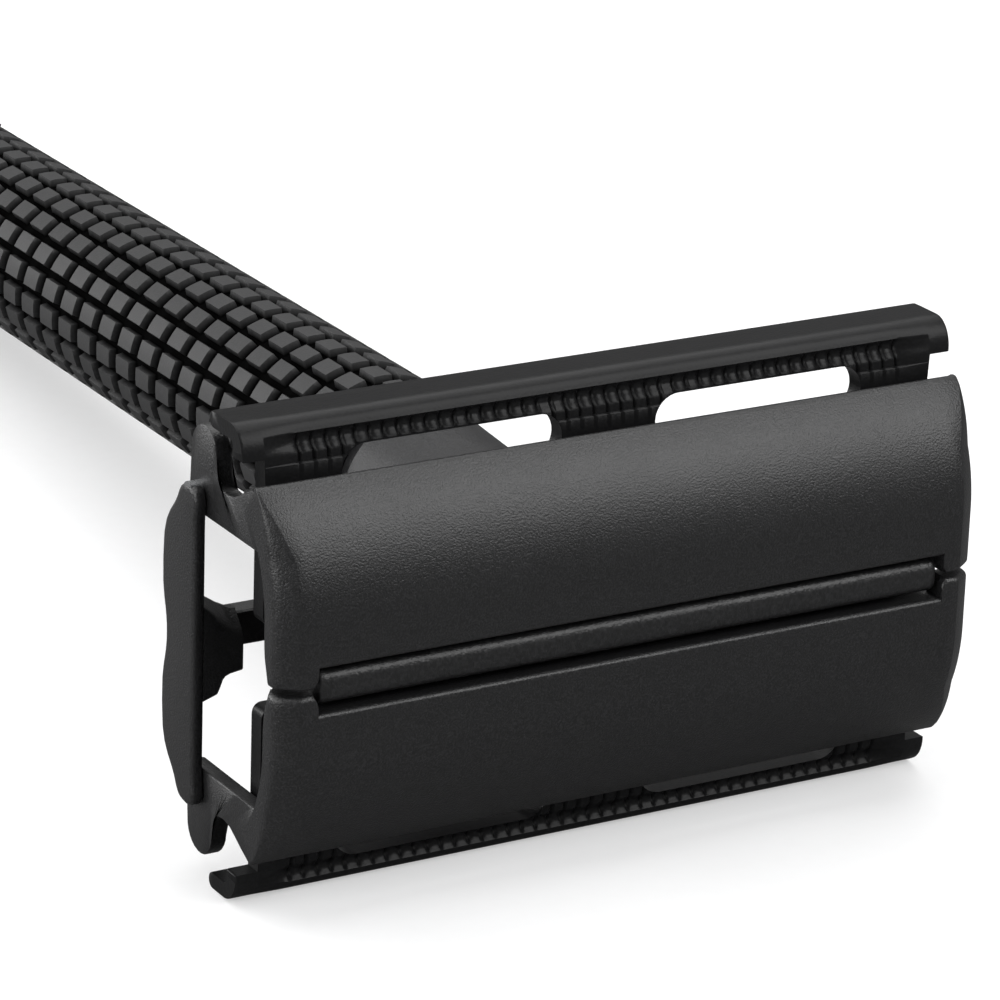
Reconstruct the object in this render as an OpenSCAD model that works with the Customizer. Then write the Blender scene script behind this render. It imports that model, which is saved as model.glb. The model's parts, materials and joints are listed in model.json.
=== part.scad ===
// Twist-to-open safety razor, lying on its lower guard lip and on its knob.
// Every piece is drawn in the razor's own axes and then laid down by laid():
//   x runs along the head, y across it, z along the handle towards the crown.
//   z = 0 is the crown of the closed doors, so nearly every height is negative.

/* [Head] */
// Length of the two doors, from end rim to end rim
head_len = 43.4; // [40:0.1:52.1]
// Width of the closed doors across both outer edges
head_w = 21; // [20:0.1:25.2]
// Flat half-width of the crown, before it starts to curve down
crown_flat = 3.5; // [2.5:0.1:4.2]
// Radius of the curved shoulders of the doors
shoulder_r = 9.45; // [9:0.05:12]
// Wall thickness of the doors
door_t = 1.5; // [1.2:0.05:1.8]
// Height of the bevel at each end of the doors
bevel_h = 1.6; // [0.8:0.1:1.8]
// Length of the bevel along the head
bevel_len = 1.2; // [0.6:0.1:1.5]
// Gap between the two closed doors
door_gap = 0.5; // [0.3:0.05:0.6]
// Thickness of the door legs, along the head
leg_t = 0.9; // [0.75:0.05:1.1]
// Distance of the inner edge of a door leg from the middle
leg_y = 7.1; // [6.6:0.1:7.3]

/* [Guard plate] */
// Width of the guard over both lips
guard_w = 26.6; // [26:0.1:32]
// Depth of the guard plate's top face below the crown
plate_depth = 4.2; // [4:0.1:5]
// Thickness of the guard plate
plate_t = 1.1; // [0.9:0.05:1.3]
// Depth of the turned-down lip, measured from the plate's top face
lip_h = 3.2; // [2.4:0.1:3.8]
// Thickness of the lip
lip_t = 0.9; // [0.7:0.05:1.0]
// Length of one of the four rinse windows
window_len = 13.2; // [11:0.1:13.4]
// Width of a rinse window
window_w = 2.8; // [2.2:0.1:3]
// Width of the land between two windows
window_land = 5.8; // [4:0.1:7]

/* [Centre bar] */
// Width of the centre bar, which fits the slot of a blade
bar_w = 2; // [1.6:0.1:2.4]
// Length of the centre bar
bar_len = 38.4; // [34:0.1:40]
// Gap between the centre bar and the doors
bar_gap = 0.25; // [0.2:0.05:0.4]

/* [Lifting yoke] */
// Thickness of the spine and the end plates of the yoke
yoke_t = 1.5; // [1.2:0.1:1.6]
// Thickness of the two end plates
end_plate_t = 0.8; // [0.7:0.05:1.2]
// Width of the spine
spine_w = 3.7; // [3:0.1:4.2]
// Depth of the end plates' top edge below the crown
end_plate_depth = 8.9; // [8.6:0.1:9.4]
// Height of the end plates
end_plate_h = 4.2; // [3.4:0.1:4.6]
// Travel of the yoke from closed to open
lift = 5.9; // [5:0.1:5.9]
// Distance of the hinge pins from the middle
pin_y = 8.4; // [8.2:0.1:8.5]
// Depth of the hinge pins below the crown
pin_depth = 9.4; // [9.3:0.1:9.6]
// Diameter of the hinge pins
pin_d = 1; // [0.8:0.05:1.1]

/* [Handle] */
// Overall length, from the crown to the butt of the knob
overall_len = 98; // [84:0.5:110]
// Diameter of the grip over its pads
grip_d = 11.26; // [10.4:0.02:12.4]
// Bore of the grip tube
grip_bore = 7.8; // [7.4:0.1:8]
// Depth at which the grip starts below the crown
grip_depth = 26; // [25:0.5:30]
// Spacing of the pads' rings along the grip
pad_pitch = 2.72; // [2.2:0.02:3.2]
// Width of the grooves between the rings
groove_w = 0.8; // [0.5:0.05:1]
// Depth of the grooves between the rings
groove_h = 0.4; // [0.2:0.05:0.5]
// Diameter of the neck at its rim, next to the grip
neck_rim_d = 10.2; // [9.6:0.1:10.4]
// Diameter of the neck under the head
neck_d = 9.4; // [9:0.1:9.8]
// Depth of the neck's rim below the crown
neck_rim_depth = 24.5; // [22:0.5:24.5]

/* [Twist mechanism] */
// Diameter of the lift rod
rod_d = 4; // [3.6:0.1:4.4]
// Outer diameter of the knob's sleeve
sleeve_d = 6.6; // [6.2:0.1:6.8]
// Diameter of the knob
knob_d = 11.8; // [11.4:0.1:13]
// Length of the knob
knob_len = 8.6; // [7:0.1:11]
// Clearance on the radius of parts that turn or slide in each other
run_gap = 0.05; // [0.02:0.01:0.08]
// Side clearance between parts that pass each other
side_gap = 0.25; // [0.15:0.05:0.3]

/* [Hidden] */
$fn = 64;
tiny = 0.01;
past = 1;

// Depths below the crown, as heights
plate_top = -plate_depth;
plate_low = plate_top - plate_t;
lip_low = plate_top - lip_h;
pin_z = -pin_depth;
yoke_top = -end_plate_depth;
end_plate_low = yoke_top - end_plate_h;
spine_top = plate_low - lift - 0.3;
spine_low = spine_top - yoke_t;
slot_floor = spine_low - 0.4;
neck_low = -neck_rim_depth;
grip_top = -grip_depth;
butt = -overall_len;
knob_top = butt + knob_len;
cross_pin_z = knob_top - 2.4;
washer_t = 0.6;
grip_low = knob_top + washer_t + run_gap;

// Head, half sizes
rim_x = head_len / 2;
door_y = head_w / 2;
door_edge_z = -shoulder_r + sqrt(pow(shoulder_r, 2) - pow(door_y - crown_flat, 2));
door_edge_t = 0.6;
leg_x = rim_x - leg_t;
plate_x = leg_x - side_gap;
guard_y = guard_w / 2;
guard_x = rim_x + 0.2;
guard_in = guard_y - 1.8;
guard_r = 1.1;
lip_r = lip_t / 2;
window_y = guard_in + 0.1 - window_w / 2;
bar_top = -0.35;
slot_x = bar_len / 2 + bar_gap;
slot_y = bar_w / 2 + bar_gap;
bar_round = 0.4;

// Rivets and screws of the head, and the gap round their heads
head_gap = 0.03;
bar_rivet_x = 9;
bar_rivet_r = 0.7;
bar_rivet_head_r = 1.15;
bar_rivet_head_h = 0.45;
bar_rivet_top = -2.6;
plate_screw_y = 3.3;
plate_screw_r = 0.6;
plate_screw_head_r = 1.1;
plate_screw_head_h = 0.5;
plate_screw_len = 4.5;

// Yoke
end_x = rim_x + 0.1;
end_out = end_x + end_plate_t;
riser_x = bar_len / 2 + 0.4;
notch_y = spine_w / 2 + 0.45;
notch_x = riser_x - side_gap;
pin_boss_r = 0.95;
pin_grip = 0.55;
lobe_y = pin_y + 2.3;
lobe_z = pin_z + 0.5;
lobe_r = 1.4;
yoke_screw_r = 0.9;
yoke_screw_head_r = 1.6;
yoke_screw_head_h = 0.7;
yoke_screw_len = 6;
stem_t = 1.4;

// Handle radii
grip_r = grip_d / 2;
grip_rings = floor((grip_top - grip_low) / pad_pitch) - 1;
grip_end = (grip_top - grip_low - grip_rings * pad_pitch) / 2;
spigot_r = grip_bore / 2;
spigot_low = grip_top - 10;
neck_taper_top = slot_floor - 4.6;
neck_step = 0.1;
guide_r = 3;
rod_r = rod_d / 2;
rod_low = -70;
sleeve_r = sleeve_d / 2;
sleeve_top = -62;
sleeve_low = butt + 1.5;
flange_top = -67.6;
flange_t = 1.4;
nut_t = 2;
nut_top = flange_top - flange_t - 0.1;
knob_r = knob_d / 2;
knob_edge = 0.6;
cap_r = 4.2;
cap_t = 1.5;
cross_pin_r = 0.6;
ring_r = 0.38;
ring_z = grip_low + 2.5;
ring_groove = 0.4;

// Resting place: the lower lip and the knob touch the ground together.
lip_y = guard_y - lip_r;
lip_z = lip_low + lip_r;
rest_tilt = atan2(guard_y - knob_r, lip_z - butt - knob_edge);
rest_h = lip_y * cos(rest_tilt) - lip_z * sin(rest_tilt) + lip_r;
front_y = -shoulder_r * (1 - cos(rest_tilt)) - crown_flat * sin(rest_tilt);
back_y = (knob_r - knob_edge) * sin(rest_tilt) + overall_len * cos(rest_tilt);

// Points of an arc about (cx, cy), from angle a0 to a1
function arc(cx, cy, r, a0, a1, n) = [
    for (i = [0:n]) let (a = a0 + (a1 - a0) * i / n) [cx + r * cos(a), cy + r * sin(a)]
];

// Lays the razor down, with the middle of its outline over the origin
module laid() {
    translate([0, -(front_y + back_y) / 2, rest_h])
        rotate([90 - rest_tilt, 0, 0])
            children();
}

// Carries a (y, z) outline along the head from x0 to x1
module along_x(x0, x1) {
    translate([x0, 0, 0])
        rotate([90, 0, 90])
            linear_extrude(height = x1 - x0)
                children();
}

// A plain disc or rod along the handle from z0 up to z1
module rod_z(r, z0, z1) {
    translate([0, 0, z0])
        cylinder(r = r, h = z1 - z0);
}

// Both sides of a piece that is the same across the head
module both_y() {
    children();
    mirror([0, 1, 0])
        children();
}

// Both ends of a piece that is the same along the head
module both_x() {
    children();
    mirror([1, 0, 0])
        children();
}

// Section of the turned-down guard lip, at positive y
module lip_section() {
    translate([guard_in, plate_low])
        square([guard_y - guard_r - guard_in, plate_t]);
    translate([guard_y - guard_r, plate_top - guard_r])
        intersection() {
            circle(r = guard_r);
            square([guard_r, guard_r]);
        }
    translate([guard_y - lip_t, lip_z])
        square([lip_t, plate_top - guard_r - lip_z]);
    translate([lip_y, lip_z])
        circle(r = lip_r);
}

// A rinse window, as a slot with round ends
module window(x_mid) {
    translate([x_mid, window_y, plate_low - past])
        linear_extrude(height = plate_t + 2 * past) {
            square([window_len - window_w, window_w], center = true);
            for (side = [-1, 1])
                translate([side * (window_len - window_w) / 2, 0])
                    circle(d = window_w);
        }
}

// Countersunk hole or screw head, wide end up
module countersink(r_top, r_low, z_top, h) {
    translate([0, 0, z_top - h])
        cylinder(r1 = r_low, r2 = r_top, h = h);
}

module guard_plate() {
    color("#1b1b1c")
        laid()
            difference() {
                union() {
                    both_y()
                        along_x(-guard_x, guard_x)
                            lip_section();
                    translate([-plate_x, -guard_in - tiny, plate_low])
                        cube([2 * plate_x, 2 * (guard_in + tiny), plate_t]);
                }
                both_y()
                    for (side = [-1, 1])
                        window(side * (window_land + window_len) / 2);
                both_x()
                    translate([notch_x, -notch_y, plate_low - past])
                        cube([plate_x - notch_x + past, 2 * notch_y, plate_t + 2 * past]);
                both_x()
                    translate([bar_rivet_x, 0, 0]) {
                        rod_z(bar_rivet_r, plate_low - past, plate_top + past);
                        translate([0, 0, plate_low - head_gap])
                            cylinder(
                                r1 = bar_rivet_head_r + 2 * head_gap,
                                r2 = bar_rivet_r + head_gap,
                                h = bar_rivet_head_h + 2 * head_gap
                            );
                    }
                both_y()
                    translate([0, plate_screw_y, 0]) {
                        rod_z(plate_screw_r, plate_low - past, plate_top + past);
                        countersink(
                            plate_screw_head_r + 2 * head_gap, plate_screw_r + head_gap,
                            plate_top + head_gap, plate_screw_head_h + 2 * head_gap
                        );
                    }
            }
}

// Section of the centre bar, with its two top edges rounded
module bar_section() {
    translate([-bar_w / 2, plate_top])
        square([bar_w, bar_top - bar_round - plate_top]);
    translate([bar_round - bar_w / 2, plate_top])
        square([bar_w - 2 * bar_round, bar_top - plate_top]);
    for (side = [-1, 1])
        translate([side * (bar_w / 2 - bar_round), bar_top - bar_round])
            circle(r = bar_round);
}

module centre_bar() {
    color("#1f1f20")
        laid()
            difference() {
                along_x(-bar_len / 2, bar_len / 2)
                    bar_section();
                both_x()
                    translate([bar_rivet_x, 0, 0])
                        rod_z(bar_rivet_r, plate_top - past, bar_rivet_top);
            }
}

module bar_rivets() {
    color("#8b8d90")
        laid()
            both_x()
                translate([bar_rivet_x, 0, 0]) {
                    rod_z(bar_rivet_r, plate_low, bar_rivet_top);
                    translate([0, 0, plate_low])
                        cylinder(r1 = bar_rivet_head_r, r2 = bar_rivet_r, h = bar_rivet_head_h);
                }
}

module plate_screws() {
    color("#8b8d90")
        laid()
            both_y()
                translate([0, plate_screw_y, 0]) {
                    rod_z(plate_screw_r, plate_top - plate_screw_len, plate_top);
                    countersink(plate_screw_head_r, plate_screw_r, plate_top, plate_screw_head_h);
                }
}

module neck_collar() {
    color("#232324")
        laid()
            difference() {
                rotate_extrude()
                    polygon([
                        [0, spigot_low],
                        [spigot_r, spigot_low],
                        [spigot_r, grip_top],
                        [spigot_r + 0.5, grip_top],
                        [spigot_r + 0.5, neck_low],
                        [neck_rim_d / 2 - 0.2, neck_low],
                        [neck_rim_d / 2, neck_low + 0.2],
                        [neck_d / 2, neck_taper_top],
                        [neck_d / 2, slot_floor],
                        [neck_d / 2 - neck_step, slot_floor],
                        [neck_d / 2 - neck_step, plate_low],
                        [0, plate_low]
                    ]);
                rod_z(guide_r, spigot_low - past, slot_floor + past);
                translate([-neck_rim_d, -spine_w / 2 - side_gap, slot_floor])
                    cube([2 * neck_rim_d, spine_w + 2 * side_gap, plate_low - slot_floor + past]);
                both_y()
                    translate([0, plate_screw_y, 0])
                        rod_z(plate_screw_r, plate_top - plate_screw_len, plate_low + past);
            }
}

module rod_guide() {
    color("#b08d45")
        laid()
            difference() {
                rod_z(guide_r, spigot_low, slot_floor);
                rod_z(rod_r + run_gap, spigot_low - past, slot_floor + past);
            }
}

module grip_tube() {
    color("#1c1c1d")
        laid()
            difference() {
                rod_z(grip_r, grip_low, grip_top);
                rod_z(spigot_r, grip_low - past, grip_top + past);
                for (i = [0:grip_rings])
                    translate([0, 0, grip_low + grip_end + i * pad_pitch - groove_w / 2])
                        difference() {
                            rod_z(grip_r + past, 0, groove_w);
                            rod_z(grip_r - groove_h, -past, groove_w + past);
                        }
            }
}

module ring_nut() {
    color("#b08d45")
        laid()
            difference() {
                rod_z(spigot_r, nut_top - nut_t, nut_top);
                rod_z(sleeve_r + run_gap, nut_top - nut_t - past, nut_top + past);
            }
}

// Section of the door shell at positive y, across the whole width
module shell_section() {
    arc_end = acos((door_y - crown_flat) / shoulder_r);
    inner_r = shoulder_r - door_t;
    floor_z = door_edge_z - door_edge_t;
    inner_end = asin((shoulder_r + floor_z) / inner_r);
    polygon(concat(
        [[door_gap / 2, 0]],
        arc(crown_flat, -shoulder_r, shoulder_r, 90, arc_end, 24),
        [[door_y, floor_z]],
        arc(crown_flat, -shoulder_r, inner_r, inner_end, 90, 16),
        [[door_gap / 2, -door_t]]
    ));
}

// Leg of a door, with its hinge hole and the hooked lobe beside it
module leg_section() {
    waist_y = 9.1;
    difference() {
        union() {
            translate([leg_y, pin_z])
                square([waist_y - leg_y, -door_t - pin_z]);
            polygon([
                [waist_y - 1, -door_t],
                [waist_y - 1, -6.2],
                [waist_y, -6],
                [waist_y + 0.3, -4.5],
                [door_y - 0.1, door_edge_z - door_edge_t],
                [door_y - 0.1, door_edge_z]
            ]);
            translate([pin_y, pin_z])
                circle(r = pin_y - leg_y);
            translate([pin_y, lobe_z - lobe_r + 0.1])
                square([lobe_y - pin_y, 2 * lobe_r - 0.2]);
            translate([lobe_y, lobe_z])
                circle(r = lobe_r);
        }
        translate([pin_y, pin_z])
            circle(r = pin_d / 2 + run_gap);
    }
}

// One door with its two legs, on the positive side of the head
module door() {
    difference() {
        union() {
            along_x(-rim_x, rim_x)
                shell_section();
            both_x()
                along_x(leg_x, rim_x)
                    leg_section();
        }
        translate([-slot_x, -past, -door_t - past])
            cube([2 * slot_x, slot_y + past, door_t + 2 * past]);
        both_x()
            translate([rim_x, 0, -bevel_h])
                rotate([0, -atan2(bevel_len, bevel_h), 0])
                    translate([0, -past, -bevel_h])
                        cube([2 * past, door_y + 2 * past, 4 * bevel_h]);
    }
}

module upper_door() {
    color("#1d1d1e")
        laid()
            door();
}

module lower_door() {
    color("#1d1d1e")
        laid()
            mirror([0, 1, 0])
                door();
}

// Outline of an end plate of the yoke, at positive y
module end_plate_half() {
    waist_h = 0.6;
    polygon([
        [-tiny, yoke_top],
        [pin_y - pin_boss_r, yoke_top],
        [pin_y, pin_z + pin_boss_r],
        [pin_y + pin_boss_r, pin_z],
        [pin_y - 0.5, pin_z - 1.2],
        [pin_y - 1.7, end_plate_low + 1],
        [pin_y - 2.6, end_plate_low],
        [2.2, end_plate_low],
        [1.2, end_plate_low + waist_h],
        [-tiny, end_plate_low + waist_h]
    ]);
    translate([pin_y, pin_z])
        circle(r = pin_boss_r);
}

module yoke() {
    color("#202021")
        laid()
            difference() {
                union() {
                    translate([-riser_x - tiny, -spine_w / 2, spine_low])
                        cube([2 * (riser_x + tiny), spine_w, yoke_t]);
                    both_x() {
                        translate([riser_x, -spine_w / 2, spine_low])
                            cube([stem_t, spine_w, yoke_top - spine_low]);
                        translate([riser_x, -spine_w / 2, yoke_top - stem_t])
                            cube([end_out - riser_x, spine_w, stem_t]);
                        both_y()
                            along_x(end_x, end_out)
                                end_plate_half();
                    }
                }
                both_x()
                    both_y()
                        translate([end_x - past, pin_y, pin_z])
                            rotate([0, 90, 0])
                                cylinder(r = pin_d / 2, h = past + pin_grip);
                rod_z(yoke_screw_r, spine_low - past, spine_top + past);
                countersink(
                    yoke_screw_head_r + 2 * head_gap, yoke_screw_r + head_gap,
                    spine_top + head_gap, yoke_screw_head_h + 2 * head_gap
                );
            }
}

module hinge_pins() {
    color("#8b8d90")
        laid()
            both_x()
                both_y()
                    translate([leg_x, pin_y, pin_z])
                        rotate([0, 90, 0])
                            cylinder(d = pin_d, h = end_x + pin_grip - leg_x);
}

module lift_rod() {
    color("#8b8d90")
        laid()
            difference() {
                rod_z(rod_r, rod_low, spine_low);
                rod_z(yoke_screw_r, spine_top - yoke_screw_len, spine_low + past);
            }
}

module rod_screw() {
    color("#8b8d90")
        laid() {
            rod_z(yoke_screw_r, spine_top - yoke_screw_len, spine_top);
            countersink(yoke_screw_head_r, yoke_screw_r, spine_top, yoke_screw_head_h);
        }
}

module knob_shell() {
    color("#1c1c1d")
        laid()
            difference() {
                rotate_extrude()
                    polygon([
                        [0, butt],
                        [knob_r - knob_edge, butt],
                        [knob_r, butt + knob_edge],
                        [knob_r, knob_top - knob_edge / 2],
                        [knob_r - knob_edge / 2, knob_top],
                        [0, knob_top]
                    ]);
                rod_z(sleeve_r, sleeve_low, knob_top + past);
                rod_z(cap_r, butt - past, butt + cap_t);
                cross_hole();
            }
}

// Cross hole for the pin that locks the knob to its sleeve
module cross_hole() {
    translate([-knob_r - past, 0, cross_pin_z])
        rotate([0, 90, 0])
            cylinder(r = cross_pin_r, h = 2 * (knob_r + past));
}

module knob_sleeve() {
    color("#b08d45")
        laid()
            difference() {
                union() {
                    rod_z(sleeve_r, sleeve_low, sleeve_top);
                    rod_z(spigot_r - run_gap, flange_top - flange_t, flange_top);
                }
                rod_z(rod_r + run_gap, rod_low - 2, sleeve_top + past);
                translate([0, 0, ring_z - ring_groove])
                    difference() {
                        rod_z(sleeve_r + past, 0, 2 * ring_groove);
                        rod_z(sleeve_r - ring_groove, -past, 2 * ring_groove + past);
                    }
                cross_hole();
            }
}

module knob_cap() {
    color("#1d1d1e")
        laid()
            rod_z(cap_r, butt, butt + cap_t);
}

module knob_pin() {
    color("#8b8d90")
        laid()
            translate([-knob_r + 2 * tiny, 0, cross_pin_z])
                rotate([0, 90, 0])
                    cylinder(r = cross_pin_r, h = 2 * knob_r - 4 * tiny);
}

module thrust_washer() {
    color("#b08d45")
        laid()
            difference() {
                rod_z(knob_r - 0.9, knob_top, knob_top + washer_t);
                rod_z(sleeve_r, knob_top - past, knob_top + washer_t + past);
            }
}

module friction_ring() {
    color("#101010")
        laid()
            translate([0, 0, ring_z])
                rotate_extrude()
                    translate([sleeve_r - ring_groove + ring_r + tiny, 0])
                        circle(r = ring_r);
}

guard_plate();
centre_bar();
bar_rivets();
plate_screws();
neck_collar();
rod_guide();
grip_tube();
ring_nut();
upper_door();
lower_door();
yoke();
hinge_pins();
lift_rod();
rod_screw();
knob_shell();
knob_sleeve();
knob_cap();
knob_pin();
thrust_washer();
friction_ring();
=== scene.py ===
import json
import math

import bmesh
import bpy
import numpy as np
from mathutils import Matrix, Vector


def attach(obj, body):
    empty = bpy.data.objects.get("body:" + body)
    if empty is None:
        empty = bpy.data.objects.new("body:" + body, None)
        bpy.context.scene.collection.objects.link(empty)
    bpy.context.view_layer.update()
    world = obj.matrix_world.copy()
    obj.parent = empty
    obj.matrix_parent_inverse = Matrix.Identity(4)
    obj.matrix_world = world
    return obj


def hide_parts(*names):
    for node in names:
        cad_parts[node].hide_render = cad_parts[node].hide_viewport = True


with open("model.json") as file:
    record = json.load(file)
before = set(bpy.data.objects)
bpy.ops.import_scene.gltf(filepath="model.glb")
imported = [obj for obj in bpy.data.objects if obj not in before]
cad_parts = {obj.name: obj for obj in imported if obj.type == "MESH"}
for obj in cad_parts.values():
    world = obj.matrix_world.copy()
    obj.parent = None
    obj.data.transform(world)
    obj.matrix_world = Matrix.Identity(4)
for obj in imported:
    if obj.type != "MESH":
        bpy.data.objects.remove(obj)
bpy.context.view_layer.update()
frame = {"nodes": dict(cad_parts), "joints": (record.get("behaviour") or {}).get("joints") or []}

bl_info = {
    "name": "Twist-to-open safety razor",
    "version": (1, 0, 0),
    "blender": (4, 5, 0),
    "location": "View3D > Sidebar > Razor",
    "description": "Builds the visible surfaces and finishes of a butterfly safety razor",
    "category": "Add Mesh",
}

MM = 0.001
JOINTS = {joint["name"]: joint for joint in frame["joints"]}

# The razor's own axes, read from its joints: z runs up the handle to the crown,
# x along the head and y across it. The knob's joint lies on the handle's axis.
KNOB_JOINT_DEPTH = 93.7
AXIS_Z = np.array(JOINTS["yoke_lift"]["axis"], float)
AXIS_X = np.array([1.0, 0.0, 0.0])
AXIS_Y = np.cross(AXIS_Z, AXIS_X)
AXES = np.stack([AXIS_X, AXIS_Y, AXIS_Z])
ORIGIN = np.array(JOINTS["knob_turn"]["pos_m"], float) + KNOB_JOINT_DEPTH * MM * AXIS_Z

# Heights along the handle, in millimetres below the crown
PLATE_TOP = -4.2
PLATE_LOW = -5.3
LIP_LOW = -7.4
UPPER_LIP_EXTRA = 0.6
BAR_TOP = -0.35
GRIP_TOP = -26.0
GRIP_LOW = -88.75
KNOB_TOP = -89.4
BUTT = -98.0
CAP_TOP = -96.5

# Half sizes of the head, in millimetres
GUARD_Y = 13.3
GUARD_X = 21.9
GUARD_IN = 11.5
PLATE_X = 20.55
NOTCH_X = 19.35
NOTCH_Y = 2.3
WINDOW_Y = 10.2
WINDOW_HALF = 1.4
WINDOW_NEAR = 2.9
WINDOW_FAR = 16.1
BAR_X = 19.2
BAR_Y = 1.0

# Padded parts, in millimetres and degrees
GRIP_R = 5.63
GRIP_BORE = 3.9
GRIP_RING_MID = -43.25
GRIP_PADS = 20
GRIP_FIRST_PAD = 144.4
KNOB_R = 5.9
KNOB_BORE = 4.22
KNOB_PITCH = 2.5
KNOB_PADS = 22
CAP_R = 4.2

# Radii between which the painted shade in the grip's cuts fades out towards the pads, in
# millimetres
CUT_SHADE_R = 5.15
SHADE_END_R = 5.6

# The camera's directions and its place, in the razor's axes and millimetres
CAMERA_RIGHT = np.array([0.86502, 0.03232, 0.50069])
CAMERA_DOWN = np.array([-0.14516, -0.93912, 0.3114])
CAMERA_AHEAD = np.array([0.48027, -0.34205, -0.80767])
CAMERA_PLACE = [-131.925, 96.443, 206.608]


# ---------------------------------------------------------------- shapes


def lay(points):
    """Razor axes in millimetres to the row frame in metres: origin + x X + y Y + z Z."""
    return ORIGIN + np.asarray(points, float) @ AXES * MM


def skin(points, wrap_rows=False, wrap_cols=True, fold_caps=False):
    """Quads over a grid of points (rows, columns, 3): each joins four neighbours.

    fold_caps closes the first and last row of a closed section by joining point j
    to point m - 1 - j, so the section is one curve out and another curve back.
    """
    rows, cols = points.shape[:2]
    index = np.arange(rows * cols).reshape(rows, cols)
    below = np.roll(index, -1, 0) if wrap_rows else index[1:]
    here = index if wrap_rows else index[:-1]
    if wrap_cols:
        quads = np.stack([here, np.roll(here, -1, 1), np.roll(below, -1, 1), below], -1)
    else:
        quads = np.stack([here[:, :-1], here[:, 1:], below[:, 1:], below[:, :-1]], -1)
    faces = [quads.reshape(-1, 4)]
    if fold_caps:
        half = cols // 2
        j = np.arange(half - 1)
        first = np.stack([index[0, j], index[0, cols - 1 - j],
                          index[0, cols - 2 - j], index[0, j + 1]], -1)
        last = np.stack([index[-1, j], index[-1, j + 1],
                         index[-1, cols - 2 - j], index[-1, cols - 1 - j]], -1)
        faces += [first, last]
    return points.reshape(-1, 3), np.concatenate(faces)


def along(x, section):
    """Gives sections (rows, columns, 2) of y and z their places along x."""
    return np.concatenate([np.broadcast_to(x[:, None, None], section.shape[:2] + (1,)),
                           section], -1)


def volume(verts, quads):
    """Signed volume inside a closed skin: the sum of a . (b x c) / 6 over its triangles."""
    a, b, c, d = (verts[quads[:, k]] for k in range(4))
    return (np.einsum("ij,ij->i", a, np.cross(b, c)).sum()
            + np.einsum("ij,ij->i", a, np.cross(c, d)).sum()) / 6


def piece(name, skins, body, material, nodes=(), sharp=35.0):
    """One mesh from several closed skins, turned to face outwards and laid in the row frame."""
    verts, faces, start = [], [], 0
    for points, quads in skins:
        placed = lay(points)
        if volume(placed - placed.mean(0), quads) < 0:
            quads = quads[:, ::-1]
        verts.append(placed)
        faces.append(quads + start)
        start += len(placed)
    mesh = bpy.data.meshes.new(name)
    mesh.from_pydata(np.concatenate(verts).tolist(), [], np.concatenate(faces).tolist())
    mesh.validate()
    obj = bpy.data.objects.new(name, mesh)
    bpy.context.scene.collection.objects.link(obj)
    finish_piece(obj, body, material, nodes, sharp)
    return obj


def finish_piece(obj, body, material, nodes, sharp):
    """Smooth faces with sharp creases, a material, a body to ride and the nodes it stands for."""
    mesh = obj.data
    mesh.polygons.foreach_set("use_smooth", np.ones(len(mesh.polygons), bool))
    if sharp:
        mesh.set_sharp_from_angle(angle=math.radians(sharp))
    mesh.materials.clear()
    mesh.materials.append(material)
    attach(obj, body)
    if nodes:
        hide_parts(*nodes)


def rounded(obj, width, segments=2, angle=32.0):
    """Rounds every edge sharper than the angle, with a Bevel modifier of that width in mm."""
    bevel = obj.modifiers.new("soft_edges", "BEVEL")
    bevel.width = width * MM
    bevel.segments = segments
    bevel.limit_method = "ANGLE"
    bevel.angle_limit = math.radians(angle)
    bevel.harden_normals = True
    bevel.miter_outer = "MITER_ARC"
    return obj


def copied_solid(node, name, body, material, width):
    """A merged copy of a CAD solid, with its flat faces joined up and its edges rounded."""
    source = frame["nodes"][node]
    mesh = bpy.data.meshes.new(name)
    work = bmesh.new()
    work.from_mesh(source.data)
    bmesh.ops.remove_doubles(work, verts=work.verts, dist=5e-7)
    bmesh.ops.dissolve_limit(work, angle_limit=math.radians(0.6),
                             verts=work.verts, edges=work.edges)
    bmesh.ops.recalc_face_normals(work, faces=work.faces)
    work.to_mesh(mesh)
    work.free()
    obj = bpy.data.objects.new(name, mesh)
    bpy.context.scene.collection.objects.link(obj)
    finish_piece(obj, body, material, [node], None)
    return rounded(obj, width)


def corner(cy, cz, r, start, end, count):
    """Points of a circle of radius r about (cy, cz) from one angle to another, in degrees."""
    a = np.radians(np.linspace(start, end, count))
    return np.stack([cy + r * np.cos(a), cz + r * np.sin(a)], -1)


def window_half(x):
    """Half-width of the rinse windows at x: w inside, sqrt(w^2 - d^2) in the round ends."""
    ax = np.abs(x)
    near, far = WINDOW_NEAR + WINDOW_HALF, WINDOW_FAR - WINDOW_HALF
    past = np.maximum(near - ax, 0) + np.maximum(ax - far, 0)
    return np.sqrt(np.maximum(WINDOW_HALF**2 - past**2, 0))


def window_stations():
    """Places along the head where the windows' round ends need points."""
    a = np.radians(np.linspace(0, 90, 9))
    near = WINDOW_NEAR + WINDOW_HALF * (1 - np.cos(a))
    far = WINDOW_FAR - WINDOW_HALF * (1 - np.cos(a))
    middle = np.linspace(near[-1], far[-1], 12)[1:-1]
    side = np.concatenate([near, middle, far[::-1]])
    return np.concatenate([-side[::-1], side])


def tooth_depth(x, pitch, width, reach):
    """Depth of the fine cuts at x, 0 to 1: one smooth notch per pitch, none past the reach."""
    phase = np.abs((x / pitch + 0.5) % 1 - 0.5) * pitch
    cut = np.clip(1 - phase / width, 0, 1)
    return cut**0.8 * (np.abs(x) < reach)


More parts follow.
